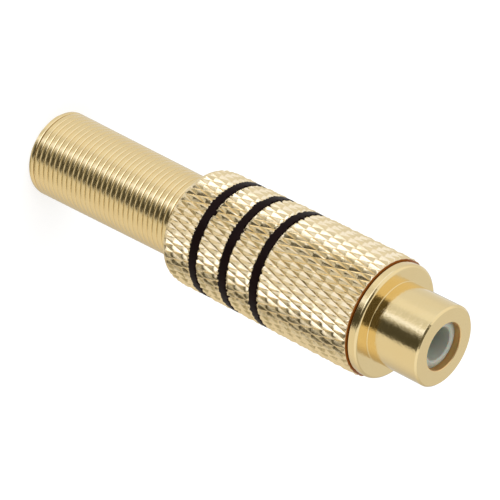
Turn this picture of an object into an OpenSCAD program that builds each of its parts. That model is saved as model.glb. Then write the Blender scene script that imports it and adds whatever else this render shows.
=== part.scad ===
// Inline phono socket: a turned socket with a round flange, screwed into a knurled barrel
// that carries three enamelled bands and a close-wound wire spring for the cable.
// It stands on the spring's ground end, with the socket's mouth facing +Z.
// The feature that takes the most skill is the diamond knurl, with the wound spring beside it.

/* [Socket nose] */
// Outer diameter of the nose that a plug's skirt grips
nose_d = 8.3; // [8.0:0.05:8.8]
// Length of the nose ahead of the flange
nose_len = 5.9; // [4.4:0.1:8]
// Chamfer on the nose's front edge
nose_chamfer = 0.18; // [0.05:0.01:0.3]
// Diameter of the mouth
mouth_d = 4.9; // [4.6:0.1:5.4]
// Chamfer on the mouth's edge
mouth_chamfer = 0.05; // [0.05:0.01:0.2]
// Depth of the front insulator's face below the nose's face
mouth_recess = 0.85; // [0.4:0.05:1.4]

/* [Flange] */
// Depth of the flange's rim below the knurl's crests
flange_drop = 0.375; // [0.1:0.025:0.6]
// Thickness of the flange, from the shadow gap to its front face
rim_len = 0.9; // [0.6:0.05:2]
// Chamfer on the rim's front edge
rim_edge = 0.2; // [0.05:0.01:0.3]
// Width of the shadow gap between the flange and the barrel
gap_len = 0.2; // [0.1:0.05:0.5]
// Depth of the shadow gap below the rim
gap_depth = 0.35; // [0.2:0.05:0.5]

/* [Screwed spigot] */
// Length of the threaded stretch
thread_len = 6; // [5:0.1:8]
// Depth below the thread of the boss behind it, which carries the liner
boss_drop = 0.4; // [0.3:0.05:0.5]
// Length of the boss
boss_len = 1.8; // [1.2:0.1:3]
// Bore for the insulators behind the mouth
chamber_d = 7.2; // [6.6:0.1:7.6]
// Reach of the lip that is rolled over the ground tag
lip_reach = 0.35; // [0.3:0.05:0.4]
// Thickness of the rolled lip
lip_len = 0.5; // [0.3:0.05:1]

/* [Barrel] */
// Diameter over the knurl's crests
barrel_d = 12.45; // [11.5:0.05:13.5]
// Thickness of the wall around the thread, measured to the knurl's crests
barrel_wall = 1.075; // [0.9:0.025:1.3]
// Length of the barrel
barrel_len = 23.8; // [22.5:0.1:30]
// Thickness of the rear wall that holds the spring in
rear_wall = 1.5; // [1:0.1:2.5]
// Width of the shelf inside, on which the spring's last turns are caught
shelf_w = 0.695; // [0.5:0.005:0.8]
// Radial clearance of the thread's plain cylinders
thread_clear = 0.05; // [0.02:0.01:0.08]
// Radial clearance of the spring in the rear wall
spring_clear = 0.08; // [0.05:0.01:0.2]
// Chamfer inside the barrel's front edge
bore_chamfer = 0.12; // [0.05:0.01:0.2]

/* [Knurl] */
// Number of grooves of each hand around the barrel
knurl_starts = 46; // [40:2:52]
// Length of one diamond along the barrel
diamond_len = 2.8; // [2:0.1:4]
// Depth of the grooves
knurl_depth = 0.27; // [0.1:0.01:0.3]
// Length over which the knurl runs out at the barrel's rear end
knurl_runout = 0.2; // [0.1:0.05:0.5]

/* [Enamelled bands] */
// Distance from the barrel's rear edge to the middle of the first band
first_band = 4.05; // [2:0.05:6]
// Distance from the middle of one band to the middle of the next
band_spacing = 4.0; // [2:0.05:5]
// Width of a band
band_w = 1.0; // [0.6:0.05:1.6]
// Depth of the grooves that hold the enamel
band_depth = 0.42; // [0.36:0.01:0.5]
// Thickness of the enamel
enamel = 0.3; // [0.1:0.01:0.34]

/* [Spring] */
// Length of spring that stands out of the barrel
spring_out = 20.7; // [12:0.1:30]
// Widening of the spring's radius from the barrel to the tail
spring_taper = 0.25; // [0:0.01:0.5]
// Diameter of the wire
wire_d = 0.67; // [0.5:0.01:0.8]
// Gap between one turn and the next
turn_gap = 0.004; // [0.001:0.001:0.02]
// Gap between the caught turns and the barrel's bore
caught_gap = 0.125; // [0.05:0.005:0.2]
// Number of caught turns
caught_turns = 1.6; // [1.2:0.1:3]
// Height of the wire's tip that the grinding of the tail leaves
ground_tip = 0.12; // [0.08:0.01:0.2]

/* [Front insulator] */
// Bore that guides the plug's pin
guide_d = 3.4; // [3.3:0.05:3.6]
// Length of the guide bore
guide_len = 2.4; // [2.3:0.1:3.5]
// Width of the funnel at the guide's mouth
funnel = 0.15; // [0.05:0.05:0.3]
// Length of the insulator's stem, from its face to its flange
stem_len = 7.6; // [6.5:0.1:9]
// Thickness of its flange
front_flange = 1.8; // [1:0.1:2.5]

/* [Centre contact] */
// Bore of the contact sleeve, for the plug's pin
pin_d = 3.2; // [3.15:0.01:3.24]
// Outer diameter of the contact sleeve
sleeve_d = 3.9; // [3.7:0.05:4.1]
// Depth of the sleeve's bore
sleeve_depth = 6.6; // [5.5:0.1:7]
// Length of the slots that part the sleeve's leaves
slot_len = 4.5; // [3:0.1:5]
// Width of a slot
slot_w = 0.3; // [0.2:0.05:0.4]
// Diameter of the contact's collar
collar_d = 5.4; // [4.6:0.1:6]
// Thickness of the collar
collar_len = 0.8; // [0.5:0.1:1.2]
// Diameter of the contact's tail
stem_d = 2.5; // [2.3:0.1:2.8]
// Length of the tail behind the collar
contact_tail = 7.2; // [6.2:0.1:8]
// Bore of the solder cup in the tail
cup_d = 1.7; // [1.2:0.1:1.8]
// Depth of the solder cup
cup_len = 3.2; // [2:0.1:3.4]

/* [Rear insulator] */
// Radial clearance of the contact's tail in the rear insulator
stem_clear = 0.05; // [0.02:0.01:0.1]

/* [Ground tag] */
// Thickness of the tag's sheet
sheet = 0.45; // [0.3:0.05:0.5]
// Bore of the tag's ring
tag_ring_bore = 4.2; // [3.6:0.1:4.4]
// Width of the tag's strip
strip_w = 2.6; // [2:0.1:2.7]
// Gap between the strip's corners and the rolled lip
strip_gap = 0.12; // [0.05:0.01:0.2]
// Length of strip behind the rolled lip before it steps outwards
strip_start = 0.6; // [0.4:0.1:2]
// Length of the cable clamp
clamp_len = 2.4; // [1.5:0.1:3]
// Gap between the cable clamp and the liner
clamp_gap = 0.68; // [0.3:0.02:0.9]
// Angle of the clamp that is left open for the cable
clamp_open = 110; // [80:5:150]
// Gap between the spring's caught turns and the clamp
clamp_foot = 0.9; // [0.3:0.1:2]

/* [Liner] */
// Radial clearance of the liner on the boss and in the barrel
liner_clear = 0.08; // [0.05:0.01:0.1]
// Gap between the liner and the thread's shoulder
liner_gap = 0.1; // [0.05:0.05:0.3]
// Gap between the liner and the spring
liner_foot = 0.3; // [0.2:0.05:1]

/* [Hidden] */
$fn = 96;
// Radii, from the barrel inwards: what fits in a piece follows its bore
barrel_r = barrel_d / 2;
bore_r = barrel_r - barrel_wall;
rear_hole_r = bore_r - shelf_w;
spigot_r = bore_r - thread_clear;
boss_r = spigot_r - boss_drop;
liner_in = boss_r + liner_clear;
liner_out = bore_r - liner_clear;
chamber_r = chamber_d / 2;
lip_r = chamber_r - lip_reach;
strip_x = sqrt((lip_r - strip_gap) ^ 2 - strip_w ^ 2 / 4);
clamp_r = liner_in - clamp_gap;
flange_r = barrel_r - flange_drop;
neck_r = flange_r - gap_depth;
nose_r = nose_d / 2;
mouth_r = mouth_d / 2;
// Radii of the spring, to the middle of its wire
wire_r = wire_d / 2;
caught_r = bore_r - caught_gap - wire_r;
spring_neck_r = rear_hole_r - spring_clear - wire_r;
tail_r = spring_neck_r + spring_taper;

// Heights, from the spring's ground end upwards
rear_z = spring_out;
shelf_z = rear_z + rear_wall;
front_z = rear_z + barrel_len;
rim_z = front_z + gap_len;
nose_z = rim_z + rim_len;
face_z = nose_z + nose_len;
thread_z = front_z - thread_len;
boss_z = thread_z - boss_len;
insulator_z = face_z - mouth_recess;
chamber_z = insulator_z - stem_len;
collar_z = chamber_z - front_flange - collar_len;
tag_z = boss_z + lip_len;
rear_insulator_z = tag_z + sheet;
sleeve_z = insulator_z - guide_len;

// The spring's helix
turn = wire_d + turn_gap;
helix_z = ground_tip - wire_r;
shelf_gap = 0.05;
flare_z = shelf_z + wire_r + shelf_gap;
flare_turns = 0.6;
top_z = flare_z + (flare_turns + caught_turns) * turn;
helix_turns = (top_z - helix_z) / turn;
spring_top = top_z + wire_r;
clamp_z = spring_top + clamp_foot;
helix_steps = 18;
wire_sides = 6;

// The knurl's lattice: columns half a groove apart and rows half a diamond apart
columns = 2 * knurl_starts;
row_h = diamond_len / 2;
valley_r = barrel_r - knurl_depth;
core_margin = 0.03;
core_r = valley_r - core_margin;
skin_overlap = 0.1;
skin_r = core_r - skin_overlap;
groove_r = barrel_r - band_depth;
band_count = 3;
band_zs = [for (i = [0:band_count - 1]) rear_z + first_band + i * band_spacing];
// The contact's two slots cross, halfway between the planes X and Y
slot_angles = [45, 135];
// How far a cut reaches past the face that it goes through
over = 1;

// One ring of points of the spring's wire. Below the ground plane the wire is cut off flat.
function wire_ring(t) =
    let (
        z = helix_z + t * turn,
        flare = min(1, max(0, (z - flare_z) / (flare_turns * turn))),
        along = min(1, max(0, z / rear_z)),
        r = tail_r + (spring_neck_r - tail_r) * along + (caught_r - spring_neck_r) * flare,
        a = 360 * t,
        chord = sqrt(max(0, wire_r * wire_r - z * z))
    )
    [for (k = [0:wire_sides - 1])
        let (
            b = 360 * k / wire_sides,
            low = z + wire_r * sin(b) < 0,
            x = r + cos(b) * (low ? chord : wire_r)
        )
        [x * cos(a), x * sin(a), low ? 0 : z + wire_r * sin(b)]
    ];

// Faces that join rings of n points each into a closed tube. The end faces start at point 1,
// because point 0 and the last points lie on one line where the wire is ground flat.
function tube_faces(rings, n) = concat(
    [[for (k = [0:n - 1]) (n + 1 - k) % n]],
    [for (i = [0:rings - 2]) for (k = [0:n - 1])
        for (f = [0, 1])
            let (a = i * n + k, b = i * n + (k + 1) % n)
            f == 0 ? [a, b, b + n] : [a, b + n, a + n]
    ],
    [[for (k = [0:n - 1]) (rings - 1) * n + k]]
);

module strain_relief_spring() {
    steps = ceil(helix_turns * helix_steps);
    rings = [for (i = [0:steps]) wire_ring(helix_turns * i / steps)];
    color("goldenrod")
        polyhedron(
            points = [for (ring = rings) each ring],
            faces = tube_faces(len(rings), wire_sides),
            convexity = 10
        );
}

// Radius of the knurl on column m at height z: crests and valleys alternate on the lattice
function knurl_r(m, z) =
    let (
        v = (z - rear_z) / row_h,
        k = floor(v),
        rise = (m + k) % 2 == 0 ? v - k : 1 - v + k,
        runout = min(1, max(0, (z - rear_z) / knurl_runout))
    )
    valley_r + knurl_depth * rise * runout;

// Heights of the rows of points between two ends, in order: the ends, the lattice rows and the
// place where the knurl starts to run out. A row that nearly meets that place is left out.
function knurl_rows(z0, z1) =
    let (
        close = 0.02,
        first = ceil((z0 - rear_z + close) / row_h),
        last = floor((z1 - rear_z - close) / row_h),
        run_z = rear_z + knurl_runout,
        inside = run_z > z0 + close && run_z < z1 - close
    )
    concat(
        [z0],
        [for (k = [first - 1:1:last])
            let (z = rear_z + k * row_h)
            each concat(
                k < first || inside && abs(z - run_z) < close ? [] : [z],
                inside && run_z > z - close && run_z < z + row_h - close ? [run_z] : []
            )],
        [z1]
    );

// A stretch of knurled skin, as a tube that sinks into the barrel's core
module knurl_skin(z0, z1) {
    zs = knurl_rows(z0, z1);
    n = columns;
    rows = len(zs);
    outer = [for (z = zs) for (m = [0:n - 1])
        let (r = knurl_r(m, z), a = 360 * m / n)
        [r * cos(a), r * sin(a), z]];
    inner = [for (z = [z0, z1]) for (m = [0:n - 1])
        let (a = 360 * m / n)
        [skin_r * cos(a), skin_r * sin(a), z]];
    low = rows * n;
    high = low + n;
    top = (rows - 1) * n;
    skin = [for (j = [0:rows - 2]) for (m = [0:n - 1]) for (f = [0, 1])
        let (
            k = floor(((zs[j] + zs[j + 1]) / 2 - rear_z) / row_h),
            p = (m + 1) % n,
            a = j * n + m,
            b = j * n + p,
            c = a + n,
            d = b + n
        )
        (m + k) % 2 == 0
            ? (f == 0 ? [a, d, b] : [a, c, d])
            : (f == 0 ? [a, c, b] : [b, c, d])
    ];
    ends = [for (m = [0:n - 1]) for (f = [0:5])
        let (p = (m + 1) % n)
        f == 0 ? [m, p, low + p] :
        f == 1 ? [m, low + p, low + m] :
        f == 2 ? [top + m, high + p, top + p] :
        f == 3 ? [top + m, high + m, high + p] :
        f == 4 ? [low + m, low + p, high + p] :
        [low + m, high + p, high + m]
    ];
    polyhedron(points = concat(outer, inner), faces = concat(skin, ends), convexity = 10);
}

// Turned profile of the barrel under its knurl: points run up the bore and down the outside
module barrel_core() {
    one_groove = [[core_r, 1], [groove_r, 1], [groove_r, -1], [core_r, -1]];
    grooves = [for (i = [band_count - 1:-1:0]) for (p = one_groove)
        [p[0], band_zs[i] + p[1] * band_w / 2]];
    rotate_extrude()
        polygon(concat(
            [
                [rear_hole_r, rear_z],
                [rear_hole_r, shelf_z],
                [bore_r, shelf_z],
                [bore_r, front_z - bore_chamfer],
                [bore_r + bore_chamfer, front_z],
                [core_r, front_z]
            ],
            grooves,
            [[core_r, rear_z]]
        ));
}

module barrel() {
    edges = concat([rear_z], [for (z = band_zs) each [z - band_w / 2, z + band_w / 2]], [front_z]);
    color("gold")
        union() {
            barrel_core();
            for (i = [0:2:len(edges) - 1])
                knurl_skin(edges[i], edges[i + 1]);
        }
}

// A band of enamel that fills the floor of its groove
module ring_band(i) {
    color([0.1, 0.08, 0.08])
        translate([0, 0, band_zs[i] - band_w / 2])
            difference() {
                cylinder(h = band_w, r = groove_r + enamel);
                translate([0, 0, -over])
                    cylinder(h = band_w + 2 * over, r = groove_r);
            }
}

module insulating_sleeve() {
    low = spring_top + liner_foot;
    high = thread_z - liner_gap;
    color("whitesmoke")
        translate([0, 0, low])
            difference() {
                cylinder(h = high - low, r = liner_out);
                translate([0, 0, -over])
                    cylinder(h = high - low + 2 * over, r = liner_in);
            }
}

// The nose, the flange, the spigot and the boss are turned from one bar
module socket_body() {
    color("gold")
        rotate_extrude()
            polygon([
                [lip_r, boss_z],
                [lip_r, tag_z],
                [chamber_r, tag_z],
                [chamber_r, chamber_z],
                [mouth_r, chamber_z],
                [mouth_r, face_z - mouth_chamfer],
                [mouth_r + mouth_chamfer, face_z],
                [nose_r - nose_chamfer, face_z],
                [nose_r, face_z - nose_chamfer],
                [nose_r, nose_z],
                [flange_r - rim_edge, nose_z],
                [flange_r, nose_z - rim_edge],
                [flange_r, rim_z],
                [neck_r, rim_z],
                [neck_r, front_z],
                [spigot_r, front_z],
                [spigot_r, thread_z],
                [boss_r, thread_z],
                [boss_r, boss_z]
            ]);
}

// A stepped bush that guides the plug's pin and houses the contact sleeve
module front_insulator() {
    color("gainsboro")
        rotate_extrude()
            polygon([
                [guide_d / 2, insulator_z - funnel],
                [guide_d / 2 + funnel, insulator_z],
                [mouth_r, insulator_z],
                [mouth_r, chamber_z],
                [chamber_r, chamber_z],
                [chamber_r, chamber_z - front_flange],
                [sleeve_d / 2, chamber_z - front_flange],
                [sleeve_d / 2, sleeve_z],
                [guide_d / 2, sleeve_z]
            ]);
}

// The contact's slotted sleeve, collar and solder cup
module centre_contact() {
    base_z = collar_z + collar_len;
    tail_z = collar_z - contact_tail;
    color("gold")
        difference() {
            union() {
                translate([0, 0, base_z])
                    cylinder(h = sleeve_z - base_z, r = sleeve_d / 2);
                translate([0, 0, collar_z])
                    cylinder(h = collar_len, r = collar_d / 2);
                translate([0, 0, tail_z])
                    cylinder(h = contact_tail, r = stem_d / 2);
            }
            translate([0, 0, sleeve_z - sleeve_depth])
                cylinder(h = sleeve_depth + over, r = pin_d / 2);
            for (a = slot_angles)
                rotate(a)
                    translate([-sleeve_d, -slot_w / 2, sleeve_z - slot_len])
                        cube([2 * sleeve_d, slot_w, slot_len + over]);
            translate([0, 0, tail_z - over])
                cylinder(h = cup_len + over, r = cup_d / 2);
            translate([-stem_d, -cup_d / 2, tail_z - over])
                cube([stem_d, cup_d, cup_len + over]);
        }
}

// A washer that presses the contact's collar against the front insulator
module rear_insulator() {
    h = collar_z - rear_insulator_z;
    color("gainsboro")
        translate([0, 0, rear_insulator_z])
            difference() {
                cylinder(h = h, r = chamber_r);
                translate([0, 0, -over])
                    cylinder(h = h + 2 * over, r = stem_d / 2 + stem_clear);
            }
}

// A sheet tag: a ring held by the rolled lip, a strip bent back and a clamp for the cable
module ground_tag() {
    step_out = clamp_r - strip_x;
    bend_z = boss_z - strip_start;
    bend = sheet * tan(22.5);
    color("gold")
        union() {
            translate([0, 0, tag_z])
                difference() {
                    cylinder(h = sheet, r = chamber_r);
                    translate([0, 0, -over])
                        cylinder(h = sheet + 2 * over, r = tag_ring_bore / 2);
                }
            rotate([90, 0, 0])
                linear_extrude(strip_w, center = true)
                    polygon([
                        [strip_x, tag_z + sheet / 2],
                        [strip_x - sheet, tag_z + sheet / 2],
                        [strip_x - sheet, bend_z - bend],
                        [clamp_r - sheet, bend_z - bend - step_out],
                        [clamp_r - sheet, clamp_z],
                        [clamp_r, clamp_z],
                        [clamp_r, bend_z - step_out],
                        [strip_x, bend_z]
                    ]);
            translate([0, 0, clamp_z])
                rotate(clamp_open / 2 + 180)
                    rotate_extrude(angle = 360 - clamp_open)
                        translate([clamp_r - sheet, 0])
                            square([sheet, clamp_len]);
        }
}

strain_relief_spring();
barrel();
ring_band(0);  // ring_band_1
ring_band(1);  // ring_band_2
ring_band(2);  // ring_band_3
insulating_sleeve();
socket_body();
front_insulator();
centre_contact();
rear_insulator();
ground_tag();
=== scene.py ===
# Inline phono socket: a gold-plated nose and flange, a knurled barrel with three enamelled bands,
# and a close-wound wire spring for the cable. It stands on the spring's ground end.
# Lengths are in metres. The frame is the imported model's: +Z runs up the axis to the socket's mouth.
import math

import bmesh
import bpy
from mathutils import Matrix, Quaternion, Vector, noise

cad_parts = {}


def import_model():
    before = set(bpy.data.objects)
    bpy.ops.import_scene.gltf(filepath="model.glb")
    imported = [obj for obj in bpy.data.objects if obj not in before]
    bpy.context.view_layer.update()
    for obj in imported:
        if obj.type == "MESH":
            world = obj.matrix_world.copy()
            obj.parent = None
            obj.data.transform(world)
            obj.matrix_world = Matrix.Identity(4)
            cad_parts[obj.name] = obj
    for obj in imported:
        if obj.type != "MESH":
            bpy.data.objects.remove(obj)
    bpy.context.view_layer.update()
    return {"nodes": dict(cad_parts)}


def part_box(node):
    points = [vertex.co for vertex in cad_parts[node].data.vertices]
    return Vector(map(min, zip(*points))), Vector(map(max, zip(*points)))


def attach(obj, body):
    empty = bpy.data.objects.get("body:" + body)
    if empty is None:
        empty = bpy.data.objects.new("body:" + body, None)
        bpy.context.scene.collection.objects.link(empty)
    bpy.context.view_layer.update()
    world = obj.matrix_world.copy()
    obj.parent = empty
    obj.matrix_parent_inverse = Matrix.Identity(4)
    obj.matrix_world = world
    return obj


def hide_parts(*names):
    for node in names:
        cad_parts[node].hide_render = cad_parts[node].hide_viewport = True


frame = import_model()

MM = 0.001

# Sizes read from the frame
barrel_low, barrel_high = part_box("barrel")
socket_low, socket_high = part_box("socket_body")
insulator_low, insulator_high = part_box("front_insulator")
REAR_Z = barrel_low.z
FRONT_Z = barrel_high.z
CREST_R = barrel_high.x
FACE_Z = socket_high.z
FLANGE_R = socket_high.x
BOSS_Z = socket_low.z
CHAMBER_R = insulator_high.x
INSULATOR_Z = insulator_high.z

# Socket body, as in the part's source, with its edges broken by small fillets
NOSE_R = 4.15 * MM
NOSE_LEN = 5.9 * MM
NOSE_CHAMFER = 0.18 * MM
MOUTH_R = 2.45 * MM
MOUTH_CHAMFER = 0.08 * MM
RIM_LEN = 0.9 * MM
RIM_EDGE = 0.2 * MM
NECK_R = 5.5 * MM
SPIGOT_R = 5.1 * MM
BOSS_R = 4.7 * MM
LIP_R = 3.25 * MM
LIP_LEN = 0.5 * MM
THREAD_LEN = 6.0 * MM
THREAD_PITCH = 0.75 * MM
THREAD_DEPTH = 0.4 * MM
THREAD_FLAT = 0.15
THREAD_END = 0.5 * THREAD_PITCH
MOUTH_FILLET = 0.015 * MM
NOSE_FILLET = 0.05 * MM
ROOT_FILLET = 0.07 * MM
RIM_FILLET = 0.25 * MM
BACK_FILLET = 0.03 * MM
NOSE_Z = FACE_Z - NOSE_LEN
RIM_Z = NOSE_Z - RIM_LEN
THREAD_Z = FRONT_Z - THREAD_LEN
STEM_LEN = 7.6 * MM
CHAMBER_Z = INSULATOR_Z - STEM_LEN

# Barrel. The knurl's pads ease and wear towards their tips. In patches a groove is shallower, by
# SHALLOW of its depth at most. One family of grooves was pressed lighter on two sides, at
# PRESS_PLACE and across from it, by UNEVEN_PRESS more. Beside a turned edge the pads are turned
# down over a narrow land.
BORE_R = 5.15 * MM
REAR_WALL = 1.5 * MM
REAR_HOLE_R = 4.455 * MM
BORE_CHAMFER = 0.12 * MM
GROOVE_R = 5.805 * MM
KNURL_COLUMNS = 92
KNURL_ROW = 1.4 * MM
KNURL_DEPTH = 0.3 * MM
KNURL_RUNOUT = 0.4 * MM
KNURL_STEPS = 6
PAD_EASE = 0.125
PAD_DRIFT = 0.03 * MM
PAD_TOP_R = CREST_R - 0.04 * MM
SHALLOW = 0.2
PATCHES_PER_MM = 0.35
PATCH_SHIFT = 9
UNEVEN_PRESS = 0.24
PRESS_PLACE = math.radians(300)
LAND = 0.12 * MM
LAND_LEVEL = 0.4
VALLEY_R = PAD_TOP_R - KNURL_DEPTH

# Enamel bands. The paint sags at its edges, bleeds into the knurl in blots and wanders from the
# line. Both are noise, read along a circle of PAINT_R mm, and a larger scale makes it finer.
BANDS = ["ring_band_1", "ring_band_2", "ring_band_3"]
ENAMEL_SAG = 0.03 * MM
BLEED = 0.4 * MM
BLOT_SCALE = 3
WANDER = 0.14 * MM
WANDER_SCALE = 1.3
PAINT_R = 5

# Spring. Plate fills the seam between two turns a little, so the wire's outer side is fuller than
# a circle and the seam is shallower. At the tail the first turn stands a little apart.
WIRE_R = 0.335 * MM
TURN = 0.674 * MM
GROUND_TIP = 0.12 * MM
TAIL_R = 4.29 * MM
SPRING_NECK_R = 4.04 * MM
CAUGHT_R = 4.69 * MM
SHELF_GAP = 0.05 * MM
FLARE_TURNS = 0.6
CAUGHT_TURNS = 1.6
WIRE_STEPS = 72
WIRE_FULLNESS = 0.135
WIRE_SEAM = 0.62
END_GAP = 0.2
GAP_PLACE = 0.75
GAP_REACH = 0.5
WIRE_HEIGHTS = [0, 0.35, 0.6, 0.78, 0.9, 0.97, 1]


# Mesh code

def place(name, mesh_code, material, body, replaced, crease=38):
    """Makes an object from a bmesh, gives it its material and hangs it on its body. An edge that
    turns by more than crease degrees stays sharp."""
    bmesh.ops.recalc_face_normals(mesh_code, faces=mesh_code.faces)
    mesh = bpy.data.meshes.new(name)
    mesh_code.to_mesh(mesh)
    mesh_code.free()
    mesh.shade_smooth()
    mesh.set_sharp_from_angle(angle=math.radians(crease))
    piece = bpy.data.objects.new(name, mesh)
    bpy.context.scene.collection.objects.link(piece)
    mesh.materials.append(material)
    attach(piece, body)
    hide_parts(replaced)
    return piece


def ring(radius, z, segments):
    """Points round the axis at height z. radius is a number, or a function of the turn (0 to 1)."""
    points = []
    for i in range(segments):
        turn = i / segments
        r = radius(turn) if callable(radius) else radius
        points.append(Vector((r * math.cos(math.tau * turn), r * math.sin(math.tau * turn), z)))
    return points


def loft(rings, closed, diagonal=None):
    """A bmesh skin over rings of equal length. closed joins the last ring to the first, for a body
    with a hole through it. diagonal(j, i) says whether cell i between rings j and j + 1 is split
    from its first corner; without it the cells stay four-sided."""
    skin = bmesh.new()
    verts = [[skin.verts.new(p) for p in points] for points in rings]
    count = len(rings[0])
    last = len(rings) if closed else len(rings) - 1
    for j in range(last):
        low, high = verts[j], verts[(j + 1) % len(rings)]
        for i in range(count):
            a, b, c, d = low[i], low[(i + 1) % count], high[(i + 1) % count], high[i]
            if diagonal is None:
                skin.faces.new((a, b, c, d))
            elif diagonal(j, i):
                skin.faces.new((a, b, c))
                skin.faces.new((a, c, d))
            else:
                skin.faces.new((a, b, d))
                skin.faces.new((b, c, d))
    if not closed:
        skin.faces.new(verts[0])
        skin.faces.new(verts[-1])
    return skin


def rounded(corners, steps=5):
    """An outline (r, z) from corners (r, z, fillet). A fillet becomes an arc with a point just
    outside each of its ends, so that the faces beside it stay flat in the light."""
    outside = 1.15
    outline = []
    for i, (r, z, fillet) in enumerate(corners):
        here = Vector((r, z))
        if not fillet:
            outline.append(here)
            continue
        back = (Vector(corners[i - 1][:2]) - here).normalized()
        ahead = (Vector(corners[(i + 1) % len(corners)][:2]) - here).normalized()
        half = back.angle(ahead) / 2
        reach = fillet / math.tan(half)
        centre = here + (back + ahead).normalized() * fillet / math.sin(half)
        start = here + back * reach - centre
        end = here + ahead * reach - centre
        outline.append(here + back * reach * outside)
        for k in range(steps + 1):
            outline.append(centre + start.lerp(end, k / steps).normalized() * fillet)
        outline.append(here + ahead * reach * outside)
    return outline


def wave(x):
    """A triangle wave: 0 at whole numbers and 1 halfway between them."""
    return 1 - abs(2 * (x % 1) - 1)


def thread(turn, z, start_z):
    """Depth of the screw thread at one place, with flat crests and roots. It fades in and out."""
    phase = (z - start_z) / THREAD_PITCH - turn
    form = min(1, max(0, (wave(phase) - THREAD_FLAT) / (1 - 2 * THREAD_FLAT)))
    ends = min(z - start_z, start_z + THREAD_LEN - z) / THREAD_END
    return THREAD_DEPTH * form * min(1, max(0, ends))


# Materials. The gold's colour drifts over COLOUR_DRIFT, and its roughness varies with the grain by
# GLOSS_SPREAD either way. What lies within the mouth's radius is MOUTH_DULL times as rough and is
# mixed to MOUTH_SHADE_GOLD, painted shade for the recess; both fade out from MOUTH_NEAR to MOUTH_FAR
# beyond it. A painted shade, JOINT_SHADE_BROWN and not metallic, lies in the joint between barrel
# and flange and fades out from JOINT_SHADE_NEAR to JOINT_SHADE_FAR beyond the joint's edges.

COLOUR_DRIFT = 3 * MM
GRAIN_LOW = 0.3
GRAIN_HIGH = 0.7
GLOSS_SPREAD = 0.25
# Painted shade: the gold within the mouth's recess is mixed to this darker, more orange colour.
MOUTH_SHADE_GOLD = "#dcb074"
MOUTH_DULL = 3.5
MOUTH_NEAR = 0.02 * MM
MOUTH_FAR = 0.08 * MM
# Painted shade: a dark brown, not metallic, laid over the joint between barrel and flange.
JOINT_SHADE_BROWN = "#96561a"
JOINT_SHADE_NEAR = 0.01 * MM
JOINT_SHADE_FAR = 0.03 * MM


def linear(code):
    """An sRGB hex colour as linear RGBA."""
    parts = [int(code[i:i + 2], 16) / 255 for i in (1, 3, 5)]
    return [c / 12.92 if c <= 0.04045 else ((c + 0.055) / 1.055) ** 2.4 for c in parts] + [1]


def add(tree, kind, sockets=None, **settings):
    """Adds a node: settings are its own values, sockets gives inputs a value or another node's output."""
    made = tree.nodes.new(kind)
    for name, value in settings.items():
        setattr(made, name, value)
    for key, value in (sockets or {}).items():
        if isinstance(value, bpy.types.NodeSocket):
            tree.links.new(value, made.inputs[key])
        else:
            made.inputs[key].default_value = value
    return made


def new_material(name):
    """An empty node material, its tree and its output."""
    material = bpy.data.materials.new(name)
    material.use_nodes = True
    tree = material.node_tree
    tree.nodes.clear()
    return material, tree, add(tree, "ShaderNodeOutputMaterial")


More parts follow.
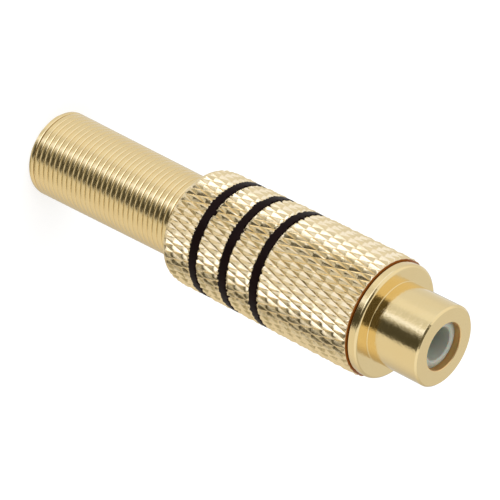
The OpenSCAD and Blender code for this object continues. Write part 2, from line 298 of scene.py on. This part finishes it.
def plated_gold(name, pale, deep, roughness, marks_mm, marks_height, grain_mm, grain_height):
    """Gold plate over turned brass. Tool marks run round the axis, marks_mm apart, and the plate
    itself has a fine grain, grain_mm across. Their heights are in mm too. The colour drifts a little
    between pale and deep. In the joint between barrel and flange a dark brown ring, not metallic, is
    painted shade. Inside the mouth the plate is mixed to a more orange gold, painted shade for the
    recess, and it is duller, because no polishing wheel reaches it."""
    material, tree, output = new_material(name)
    place_at = add(tree, "ShaderNodeTexCoord").outputs["Object"]
    parts = add(tree, "ShaderNodeSeparateXYZ", {0: place_at})
    flat = add(tree, "ShaderNodeCombineXYZ", {0: parts.outputs[0], 1: parts.outputs[1]})
    radius = add(tree, "ShaderNodeVectorMath", {0: flat.outputs[0]}, operation="LENGTH")
    across = add(tree, "ShaderNodeCombineXYZ", {0: radius.outputs["Value"], 1: parts.outputs[2]})
    marks = add(tree, "ShaderNodeTexNoise", {
        "Vector": across.outputs[0], "Scale": 1 / (marks_mm * MM), "Detail": 3, "Roughness": 0.6})
    grain = add(tree, "ShaderNodeTexNoise", {
        "Vector": place_at, "Scale": 1 / (grain_mm * MM), "Detail": 4, "Roughness": 0.55})
    drift = add(tree, "ShaderNodeTexNoise", {
        "Vector": place_at, "Scale": 1 / COLOUR_DRIFT, "Detail": 2})
    unshaded_colour = add(tree, "ShaderNodeMix", {
        "Factor": drift.outputs["Fac"], "A": linear(pale), "B": linear(deep)}, data_type="RGBA")
    # Painted shade: a dark brown ring, not metallic, over the joint between barrel and flange.
    above = add(tree, "ShaderNodeMapRange", {
        "Value": parts.outputs[2], "From Min": FRONT_Z - JOINT_SHADE_FAR, "From Max": FRONT_Z - JOINT_SHADE_NEAR})
    below = add(tree, "ShaderNodeMapRange", {
        "Value": parts.outputs[2], "From Min": RIM_Z + JOINT_SHADE_FAR, "From Max": RIM_Z + JOINT_SHADE_NEAR})
    joint_shade = add(tree, "ShaderNodeMath", {0: above.outputs[0], 1: below.outputs[0]}, operation="MULTIPLY")
    inside = add(tree, "ShaderNodeMapRange", {
        "Value": radius.outputs["Value"], "From Min": MOUTH_R + MOUTH_FAR,
        "From Max": MOUTH_R + MOUTH_NEAR})
    # Painted shade: within the mouth the colour is mixed to a darker, more orange gold.
    mouth_shade = add(tree, "ShaderNodeMix", {
        "Factor": inside.outputs[0], "A": unshaded_colour.outputs["Result"], "B": linear(MOUTH_SHADE_GOLD)},
        data_type="RGBA")
    colour = add(tree, "ShaderNodeMix", {
        "Factor": joint_shade.outputs[0], "A": mouth_shade.outputs["Result"], "B": linear(JOINT_SHADE_BROWN)},
        data_type="RGBA")
    outside_joint_shade = add(tree, "ShaderNodeMath", {0: 1, 1: joint_shade.outputs[0]}, operation="SUBTRACT")
    dull = add(tree, "ShaderNodeMapRange", {
        "Value": inside.outputs[0], "To Min": 1, "To Max": MOUTH_DULL})
    gloss = add(tree, "ShaderNodeMapRange", {
        "Value": grain.outputs["Fac"], "From Min": GRAIN_LOW, "From Max": GRAIN_HIGH,
        "To Min": roughness * (1 - GLOSS_SPREAD), "To Max": roughness * (1 + GLOSS_SPREAD)})
    rough = add(tree, "ShaderNodeMath", {
        0: gloss.outputs[0], 1: dull.outputs[0]}, operation="MULTIPLY")
    bump = add(tree, "ShaderNodeBump", {
        "Height": marks.outputs["Fac"], "Distance": marks_height * MM, "Strength": 1})
    fine = add(tree, "ShaderNodeBump", {
        "Height": grain.outputs["Fac"], "Distance": grain_height * MM, "Strength": 1,
        "Normal": bump.outputs[0]})
    shader = add(tree, "ShaderNodeBsdfPrincipled", {
        "Base Color": colour.outputs["Result"], "Metallic": outside_joint_shade.outputs[0], "Roughness": rough.outputs[0],
        "Normal": fine.outputs[0]})
    tree.links.new(shader.outputs[0], output.inputs["Surface"])
    return material


def black_enamel():
    """Stoved enamel, brown-black with a dull gloss. It pooled as it dried, so its light is uneven."""
    pool_size = 0.9 * MM
    pool_height = 0.012 * MM
    material, tree, output = new_material("stoved_black_enamel")
    place_at = add(tree, "ShaderNodeTexCoord").outputs["Object"]
    pool = add(tree, "ShaderNodeTexNoise", {"Vector": place_at, "Scale": 1 / pool_size, "Detail": 3})
    colour = add(tree, "ShaderNodeMix", {
        "Factor": pool.outputs["Fac"], "A": linear("#120a09"), "B": linear("#21110f")}, data_type="RGBA")
    bump = add(tree, "ShaderNodeBump", {
        "Height": pool.outputs["Fac"], "Distance": pool_height, "Strength": 1})
    shader = add(tree, "ShaderNodeBsdfPrincipled", {
        "Base Color": colour.outputs["Result"], "Roughness": 0.4, "Specular IOR Level": 0.05,
        "Normal": bump.outputs[0]})
    tree.links.new(shader.outputs[0], output.inputs["Surface"])
    return material


def moulded_plastic(name, pale, deep, roughness, scatter, clear):
    """Natural polythene, moulded: light enters it and spreads, so its edges look soft. Its skin has
    a fine waxy grain."""
    cloud_size = 0.8 * MM
    skin_size = 0.12 * MM
    skin_height = 0.004 * MM
    light_spread = 0.5 * MM
    material, tree, output = new_material(name)
    place_at = add(tree, "ShaderNodeTexCoord").outputs["Object"]
    cloud = add(tree, "ShaderNodeTexNoise", {"Vector": place_at, "Scale": 1 / cloud_size, "Detail": 3})
    skin = add(tree, "ShaderNodeTexNoise", {"Vector": place_at, "Scale": 1 / skin_size, "Detail": 2})
    colour = add(tree, "ShaderNodeMix", {
        "Factor": cloud.outputs["Fac"], "A": linear(pale), "B": linear(deep)}, data_type="RGBA")
    bump = add(tree, "ShaderNodeBump", {
        "Height": skin.outputs["Fac"], "Distance": skin_height, "Strength": 1})
    shader = add(tree, "ShaderNodeBsdfPrincipled", {
        "Base Color": colour.outputs["Result"], "Roughness": roughness, "IOR": 1.51,
        "Subsurface Weight": scatter, "Subsurface Scale": light_spread, "Transmission Weight": clear,
        "Normal": bump.outputs[0]})
    tree.links.new(shader.outputs[0], output.inputs["Surface"])
    return material


# Real tool marks and grain on gold plate are a few hundredths of a mm apart, too fine to show here,
# so they are drawn 0.15 to 0.3 mm apart.

# Turned and polished before it was plated: sharp reflections with a faint mottle
turned_gold = plated_gold("polished_gold_plate", "#eed9a5", "#eed59e", 0.13, 0.2, 0.0016, 0.3, 0.013)
# Rolled by the knurling wheel and plated: every flank shines, a little softly
knurled_gold = plated_gold("rolled_gold_plate", "#efdcb2", "#eed8a9", 0.22, 0.3, 0.001, 0.25, 0.009)
# Drawn through a die, so it is smooth: each turn carries its own bright line
wire_gold = plated_gold("drawn_gold_plated_wire", "#eed8a3", "#edd29a", 0.18, 0.2, 0.0005, 0.3, 0.002)
# Plain strip, stamped and rolled up: satin and yellower
contact_gold = plated_gold("stamped_gold_plate", "#ecd394", "#dfc07c", 0.25, 0.15, 0.001, 0.2, 0.002)
# Pressed from sheet and never polished: the dullest of the golds
tag_gold = plated_gold("pressed_gold_sheet", "#ecd394", "#dfc07c", 0.3, 0.3, 0.001, 0.2, 0.003)
enamel = black_enamel()
# The bush and the washer: milky, with no sight through
milky = moulded_plastic("milky_polythene", "#aeb2a6", "#9ea295", 0.4, 0.6, 0)
# The liner: thin and half clear
liner_plastic = moulded_plastic("clear_liner_tube", "#eeeeea", "#e4e6e0", 0.25, 0.3, 0.5)


# The socket: nose, flange, threaded spigot and boss, turned from one bar

def socket_body():
    front = rounded([
        (CHAMBER_R, CHAMBER_Z, 0),
        (MOUTH_R, CHAMBER_Z, 0),
        (MOUTH_R, FACE_Z - MOUTH_CHAMFER, MOUTH_FILLET),
        (MOUTH_R + MOUTH_CHAMFER, FACE_Z, MOUTH_FILLET),
        (NOSE_R - NOSE_CHAMFER, FACE_Z, NOSE_FILLET),
        (NOSE_R, FACE_Z - NOSE_CHAMFER, NOSE_FILLET),
        (NOSE_R, NOSE_Z, ROOT_FILLET),
        (FLANGE_R - RIM_EDGE, NOSE_Z, RIM_FILLET),
        (FLANGE_R, NOSE_Z - RIM_EDGE, RIM_FILLET),
        (FLANGE_R, RIM_Z, BACK_FILLET),
        (NECK_R, RIM_Z, 0),
        (NECK_R, FRONT_Z, 0),
        (SPIGOT_R, FRONT_Z, 0),
    ])
    segments = 256
    rings = [ring(p.x, p.y, segments) for p in front]
    rows = 96
    for j in range(rows + 1):
        z = FRONT_Z - THREAD_LEN * j / rows
        rings.append(ring(lambda turn: SPIGOT_R - thread(turn, z, THREAD_Z), z, segments))
    for r, z in ((BOSS_R, THREAD_Z), (BOSS_R, BOSS_Z), (LIP_R, BOSS_Z), (LIP_R, BOSS_Z + LIP_LEN),
                 (CHAMBER_R, BOSS_Z + LIP_LEN)):
        rings.append(ring(r, z, segments))
    place("turned_socket", loft(rings, True), turned_gold, "socket", "socket_body")


# The barrel: a tube with a diamond knurl, three grooves for the enamel and a screwed bore

def crushed(z, edges):
    """How far the knurl is turned away: 1 at the nearest turned edge and 0 past the land."""
    away = min(abs(z - edge) for edge in edges)
    return min(1, max(0, 1 - away / LAND))


def knurl_radius(turn, z, edges):
    """Radius of the knurl: two families of grooves cross, and a pad stands up between them. Its
    flanks ease towards the tip, and no two pads are quite alike. The first family is shallower where
    the wheel pressed lighter."""
    column = turn * KNURL_COLUMNS
    row = (z - REAR_Z) / KNURL_ROW
    angle = math.tau * turn
    skin = Vector((CREST_R * math.cos(angle), CREST_R * math.sin(angle), z)) / MM
    light_press = UNEVEN_PRESS * max(0, math.cos(2 * (angle - PRESS_PLACE)))
    grooves = []
    for hand in (1, -1):
        patch = skin * PATCHES_PER_MM + Vector((PATCH_SHIFT * hand, 0, 0))
        floor_level = SHALLOW * max(0, noise.noise(patch))
        if hand > 0:
            floor_level += light_press
        grooves.append(floor_level + (1 - floor_level) * wave((column + hand * row) / 2))
    foot = min(grooves)
    rise = (1 + PAD_EASE) * foot - 4 * PAD_EASE * max(0, foot - 0.5) ** 2
    rise += (LAND_LEVEL - rise) * crushed(z, edges)
    runout = min(1, max(0, (z - REAR_Z) / KNURL_RUNOUT))
    drift = PAD_DRIFT * (noise.noise(skin) - 1) / 2
    return VALLEY_R + (KNURL_DEPTH + drift) * rise * runout


def barrel():
    """A row of the knurl keeps at least a tenth of a step clear of each turned edge. The cells are
    split along the grooves, so that a groove's bottom stays one line. A pad's edges turn by little,
    so they stay sharp from 14 degrees on."""
    segments = KNURL_COLUMNS * KNURL_STEPS
    step = KNURL_ROW / KNURL_STEPS
    clear = 1.1
    bands = [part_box(name) for name in BANDS]
    edges = [REAR_Z] + [z for low, high in bands for z in (low.z, high.z)] + [FRONT_Z]
    rings = []
    row_of = []
    for z0, z1 in zip(edges[::2], edges[1::2]):
        first = math.floor((z0 - REAR_Z) / step + clear)
        last = math.ceil((z1 - REAR_Z) / step - clear)
        heights = [z0, z1, z1 - LAND / 2] + [REAR_Z + k * step for k in range(first, last + 1)]
        if z0 > REAR_Z:
            heights.append(z0 + LAND / 2)
        for z in sorted(heights):
            rings.append(ring(lambda turn: knurl_radius(turn, z, edges[1:]), z, segments))
            row_of.append((z - REAR_Z) / KNURL_ROW)
        if z1 < FRONT_Z:
            for z in (z1, z1 + bands[0][1].z - bands[0][0].z):
                rings.append(ring(GROOVE_R, z, segments))
                row_of.append(0)
    rings.append(ring(BORE_R + BORE_CHAMFER, FRONT_Z, segments))
    rows = 48
    for j in range(rows + 1):
        z = FRONT_Z - BORE_CHAMFER - (THREAD_LEN - BORE_CHAMFER) * j / rows
        rings.append(ring(lambda turn: BORE_R + thread(turn, z, THREAD_Z), z, segments))
    for r, z in ((BORE_R, REAR_Z + REAR_WALL), (REAR_HOLE_R, REAR_Z + REAR_WALL), (REAR_HOLE_R, REAR_Z)):
        rings.append(ring(r, z, segments))
    row_of += [0] * (len(rings) - len(row_of))

    def along_groove(j, i):
        row = math.floor((row_of[j] + row_of[min(j + 1, len(row_of) - 1)]) / 2)
        return (i // KNURL_STEPS + row) % 2 == 0

    skin = loft(rings, True, along_groove)
    place("knurled_barrel", skin, knurled_gold, "barrel", "barrel", crease=14)


def ring_bands():
    """Enamel fills each groove by hand: its edges wander, and run into the knurl's grooves beside it."""
    segments = KNURL_COLUMNS * KNURL_STEPS
    for name in BANDS:
        low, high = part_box(name)
        outer = high.x

        def edge(wall, side, turn):
            angle = math.tau * turn
            spot = Vector((PAINT_R * math.cos(angle), PAINT_R * math.sin(angle), wall / MM))
            column = turn * KNURL_COLUMNS
            row = (wall - REAR_Z) / KNURL_ROW
            foot = min(wave((column + row) / 2), wave((column - row) / 2))
            run = BLEED * (1 - foot) ** 2 * (1 + noise.noise(spot * BLOT_SCALE)) / 2
            return wall + side * (run - WANDER * (1 + noise.noise(spot * WANDER_SCALE)))

        turns = [i / segments for i in range(segments)]
        bottoms = [edge(low.z, -1, turn) for turn in turns]
        tops = [edge(high.z, 1, turn) for turn in turns]
        profile = [(GROOVE_R, 0)]
        steps = 9
        for k in range(steps):
            x = 2 * k / (steps - 1) - 1
            profile.append((outer - ENAMEL_SAG * x ** 4, (x + 1) / 2))
        profile.append((GROOVE_R, 1))
        rings = []
        for r, across in profile:
            points = ring(r, 0, segments)
            for point, bottom, top in zip(points, bottoms, tops):
                point.z = bottom + (top - bottom) * across
            rings.append(points)
        place("enamel_" + name, loft(rings, True), enamel, "barrel", name)


# The spring: round wire, wound close, ground flat at the tail and flared where the barrel holds it

def spring():
    """The wire's section is swept round turn by turn. Where it would go below the ground end, it is
    cut off flat there."""
    flare_z = REAR_Z + REAR_WALL + WIRE_R + SHELF_GAP
    start_z = GROUND_TIP - WIRE_R
    end_z = flare_z + (FLARE_TURNS + CAUGHT_TURNS) * TURN
    turns = (end_z - start_z) / TURN
    steps = math.ceil(turns * WIRE_STEPS)
    outer = [(h, (1 - h * h) ** (WIRE_FULLNESS / 2)) for h in WIRE_HEIGHTS[:-1]] + [(1, WIRE_SEAM)]
    inner = [(math.cos(math.radians(a)), -math.sin(math.radians(a))) for a in (15, 45, 70)]
    quarter = outer + inner
    section = quarter + [(0, -1)] + [(-h, x) for h, x in reversed(quarter[1:])]
    rings = []
    for i in range(steps + 1):
        t = turns * i / steps
        z = start_z + t * TURN
        flare = min(1, max(0, (z - flare_z) / (FLARE_TURNS * TURN)))
        along = min(1, max(0, z / REAR_Z))
        r = TAIL_R + (SPRING_NECK_R - TAIL_R) * along + (CAUGHT_R - SPRING_NECK_R) * flare
        chord = math.sqrt(max(0, WIRE_R ** 2 - z ** 2))
        points = []
        apart = END_GAP * max(0, 1 - ((t - GAP_PLACE) / GAP_REACH) ** 2)
        for up, out in section:
            height = z + WIRE_R * up * (1 - apart if up > 0 else 1)
            reach = WIRE_R * out
            if height < 0:
                height = 0
                reach = max(-chord, min(chord, reach))
            x = r + reach
            points.append(Vector((x * math.cos(math.tau * t), x * math.sin(math.tau * t), height)))
        rings.append(points)
    skin = loft(rings, False)
    place("wound_spring", skin, wire_gold, "spring", "strain_relief_spring")


def front_insulator():
    """The bush behind the mouth: its face is crowned, with a funnel that guides the plug's pin."""
    segments = 192
    guide_r = 1.7 * MM
    funnel = 0.15 * MM
    crown_r = guide_r + 0.5 * MM
    sleeve_r = 1.95 * MM
    sleeve_z = INSULATOR_Z - 2.4 * MM
    flange_z = insulator_low.z
    crown_z = INSULATOR_Z + 0.25 * MM
    edge_z = INSULATOR_Z + 0.1 * MM
    crown_fall = 0.05 * MM
    outline = rounded([
        (guide_r, crown_z - funnel, 0.03 * MM),
        (guide_r + funnel, crown_z, 0.06 * MM),
        (crown_r, crown_z - crown_fall, 0.15 * MM),
        (MOUTH_R, edge_z, 0),
        (MOUTH_R, CHAMBER_Z, 0),
        (CHAMBER_R, CHAMBER_Z, 0),
        (CHAMBER_R, flange_z, 0),
        (sleeve_r, flange_z, 0),
        (sleeve_r, sleeve_z, 0),
        (guide_r, sleeve_z, 0),
    ])
    rings = [ring(p.x, p.y, segments) for p in outline]
    place("moulded_bush", loft(rings, True), milky, "socket", "front_insulator")


def finish_inner_parts():
    """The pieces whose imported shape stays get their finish."""
    finishes = {
        "centre_contact": contact_gold,
        "ground_tag": tag_gold,
        "rear_insulator": milky,
        "insulating_sleeve": liner_plastic,
    }
    for name, material in finishes.items():
        for held in frame["nodes"][name].material_slots:
            held.material = material


socket_body()
barrel()
ring_bands()
spring()
front_insulator()
finish_inner_parts()


# Stage: a white floor and world, soft lamps, and a light tent that only gloss shows

ROOM_LIGHT = 0.75
FLOOR_HALF = 1500 * MM
FLOOR_GREY = 0.5
FLOOR_GLOW = 0.56
TENT_R = 1000 * MM
TENT_Z = 25 * MM
TENT_WHITE = 0.87


def background_light(tree, level):
    """Strength 1 for what the camera, metal and plastic see, and level for the light on the object."""
    path = add(tree, "ShaderNodeLightPath")
    seen = path.outputs["Is Camera Ray"]
    for other in ("Is Glossy Ray", "Is Transmission Ray"):
        either = add(tree, "ShaderNodeMath", {0: seen, 1: path.outputs[other]}, operation="MAXIMUM")
        seen = either.outputs[0]
    return add(tree, "ShaderNodeMapRange", {"Value": seen, "To Min": level, "To Max": 1}).outputs[0]


def world():
    """A white room. Its light on the object is a little lower than its white."""
    made = bpy.data.worlds.new("white_studio")
    bpy.context.scene.world = made
    made.use_nodes = True
    tree = made.node_tree
    tree.nodes.clear()
    output = add(tree, "ShaderNodeOutputWorld")
    light = add(tree, "ShaderNodeBackground", {
        "Color": (1, 1, 1, 1), "Strength": background_light(tree, ROOM_LIGHT)})
    tree.links.new(light.outputs[0], output.inputs["Surface"])


def floor():
    """A matt floor that keeps the object's shadow. A glow, seen but casting no light, lifts it to
    the white of the room."""
    material, tree, output = new_material("white_floor")
    diffuse = add(tree, "ShaderNodeBsdfDiffuse", {"Color": (FLOOR_GREY, FLOOR_GREY, FLOOR_GREY, 1)})
    lift = add(tree, "ShaderNodeMath", {
        0: background_light(tree, 0), 1: FLOOR_GLOW}, operation="MULTIPLY")
    glow = add(tree, "ShaderNodeEmission", {"Color": (1, 1, 1, 1), "Strength": lift.outputs[0]})
    both = add(tree, "ShaderNodeAddShader", {0: diffuse.outputs[0], 1: glow.outputs[0]})
    tree.links.new(both.outputs[0], output.inputs["Surface"])
    mesh = bpy.data.meshes.new("floor")
    half = FLOOR_HALF
    corners = [(-half, -half, 0), (half, -half, 0), (half, half, 0), (-half, half, 0)]
    mesh.from_pydata(corners, [], [(0, 1, 2, 3)])
    made = bpy.data.objects.new("floor", mesh)
    bpy.context.scene.collection.objects.link(made)
    mesh.materials.append(material)
    made.visible_glossy = False


def window(tree, angle, start, end, soft_start, soft_end):
    """1 where an angle lies between start and end degrees, and 0 outside. Each end fades over its
    own number of degrees."""
    half = math.radians((end - start) / 2)
    turned = add(tree, "ShaderNodeMath", {
        0: angle, 1: math.radians((start + end) / 2)}, operation="SUBTRACT")
    folded = add(tree, "ShaderNodeMath", {0: turned.outputs[0], 1: math.pi, 2: -math.pi}, operation="WRAP")
    ends = []
    for side, soft in ((-1, soft_start), (1, soft_end)):
        fade = side * math.radians(soft / 2)
        ends.append(add(tree, "ShaderNodeMapRange", {
            "Value": folded.outputs[0], "From Min": side * half + fade, "From Max": side * half - fade},
            interpolation_type="SMOOTHSTEP").outputs[0])
    return add(tree, "ShaderNodeMath", {0: ends[0], 1: ends[1]}, operation="MULTIPLY").outputs[0]


def tent():
    """A closed tent of white cloth round the object, which lights nothing and shows only in gloss.
    Each panel is laid over those before it. Its place is in degrees: from start to end round the
    axis, where 0 is below the camera and angles grow towards +X, and from low to high above the
    horizon. Its edges fade over the soft numbers of degrees."""
    material, tree, output = new_material("tent_cloth")
    spot = add(tree, "ShaderNodeTexCoord").outputs["Object"]
    way = add(tree, "ShaderNodeSeparateXYZ", {
        0: add(tree, "ShaderNodeVectorMath", {0: spot}, operation="NORMALIZE").outputs[0]})
    ahead = add(tree, "ShaderNodeMath", {0: way.outputs[1], 1: -1}, operation="MULTIPLY").outputs[0]
    azimuth = add(tree, "ShaderNodeMath", {0: way.outputs[0], 1: ahead}, operation="ARCTAN2").outputs[0]
    height = add(tree, "ShaderNodeMath", {0: way.outputs[2]}, operation="ARCSINE").outputs[0]
    white = (1, 1, 1)
    cool = (0.93, 1, 1.25)
    warm = (1, 0.955, 0.875)
    brown = (1, 0.93, 0.65)
    colour = add(tree, "ShaderNodeCombineColor", {0: TENT_WHITE, 1: TENT_WHITE, 2: TENT_WHITE}).outputs[0]
    panels = [
        ("overhead light", 1.0, white, -180, 180, 5, 5, 15, 95, 10),
        ("far wall", 0.84, white, 140, 220, 30, 30, 5, 70, 20),
        ("left, in shade", 0.81, white, -150, -108, 20, 20, -95, 20, 20),
        ("warm side", 0.87, warm, 42, 135, 20, 20, -95, 20, 20),
        ("far right, in shade", 0.6, warm, 122, 172, 60, 60, -95, 60, 20),
        ("back, in shade", 0.35, white, 168, 196, 20, 20, -60, -5, 20),
        ("brighter cloth", 0.97, white, -66, -40, 16, 16, -95, 20, 20),
        ("fold", 0.77, white, -38, -20, 10, 10, -95, 20, 20),
        ("strip light", 1.24, cool, -15, -4, 8, 8, -80, 20, 10),
        ("soft box", 1.2, cool, -85, -26, 12, 12, -24, 4, 10),
        ("gap in the tent", 0.074, brown, 1, 44, 20, 9, -47, 60, 10),
        ("foot of the gap", 0.4, brown, 4, 26, 8, 8, -66, -47, 6),
        ("hem of the cloth", 0.36, brown, 50, 94, 8, 16, -78, -44, 8),
        ("lamp", 2.2, cool, -28, 5, 8, 8, -24, -4, 6),
        ("top of the gap", 0.08, brown, 11, 35, 8, 8, -24, -3, 6),
        ("left edge of the gap", 0.9, white, 2, 14, 6, 8, -22, -4, 6),
        ("right edge of the gap", 0.8, white, 34, 50, 7, 8, -22, -4, 6),
        ("camera and its stand", 0.1, brown, -43, 37, 10, 10, 20, 66, 12),
    ]
    for name, level, tint, start, end, soft_start, soft_end, low, high, soft_height in panels:
        across = window(tree, azimuth, start, end, soft_start, soft_end)
        upright = window(tree, height, low, high, soft_height, soft_height)
        mask = add(tree, "ShaderNodeMath", {0: across, 1: upright}, operation="MULTIPLY")
        laid = add(tree, "ShaderNodeMix", {
            "Factor": mask.outputs[0], "A": colour, "B": [level * c for c in tint] + [1]}, data_type="RGBA")
        laid.label = name
        colour = laid.outputs["Result"]
    glow = add(tree, "ShaderNodeEmission", {"Color": colour, "Strength": 1})
    tree.links.new(glow.outputs[0], output.inputs["Surface"])

    cloth = bmesh.new()
    bmesh.ops.create_uvsphere(cloth, u_segments=48, v_segments=24, radius=TENT_R)
    mesh = bpy.data.meshes.new("tent")
    cloth.to_mesh(mesh)
    cloth.free()
    made = bpy.data.objects.new("tent", mesh)
    made.location = (0, 0, TENT_Z)
    bpy.context.scene.collection.objects.link(made)
    mesh.materials.append(material)
    made.visible_camera = False
    made.visible_diffuse = False
    made.visible_shadow = False
    made.visible_transmission = False


def lamp(name, azimuth, elevation, distance, size, power):
    """A soft lamp that faces the object's middle, azimuth and elevation in degrees, power in watts."""
    data = bpy.data.lights.new(name, "AREA")
    data.size = size
    data.energy = power
    made = bpy.data.objects.new(name, data)
    bpy.context.scene.collection.objects.link(made)
    a = math.radians(azimuth)
    e = math.radians(elevation)
    back = Vector((math.sin(a) * math.cos(e), -math.cos(a) * math.cos(e), math.sin(e)))
    made.location = Vector((0, 0, FACE_Z / 2)) + back * distance
    made.rotation_mode = "QUATERNION"
    made.rotation_quaternion = (-back).to_track_quat("-Z", "Y")
    made.visible_glossy = False


def camera():
    """The photograph's view: the barrel lies slantwise in it, because the camera is rolled. The
    lens and the sensor are in mm."""
    elevation = math.radians(34.69)
    distance = 255.96 * MM
    aim = Vector((0.106 * MM, 0, 26.94 * MM))
    roll = math.radians(116.83)
    data = bpy.data.cameras.new("camera")
    data.lens = 187.2
    data.sensor_width = 36
    data.clip_start = 10 * MM
    made = bpy.data.objects.new("camera", data)
    bpy.context.scene.collection.objects.link(made)
    back = Vector((0, -math.cos(elevation), math.sin(elevation)))
    made.location = aim + back * distance
    made.rotation_mode = "QUATERNION"
    made.rotation_quaternion = (-back).to_track_quat("-Z", "Y") @ Quaternion((0, 0, 1), roll)
    bpy.context.scene.camera = made


world()
floor()
tent()
lamp("key_lamp", azimuth=-60, elevation=50, distance=0.9, size=0.9, power=4)
lamp("fill_lamp", azimuth=110, elevation=40, distance=0.9, size=0.9, power=2)
camera()
bpy.context.scene.view_settings.view_transform = "Standard"
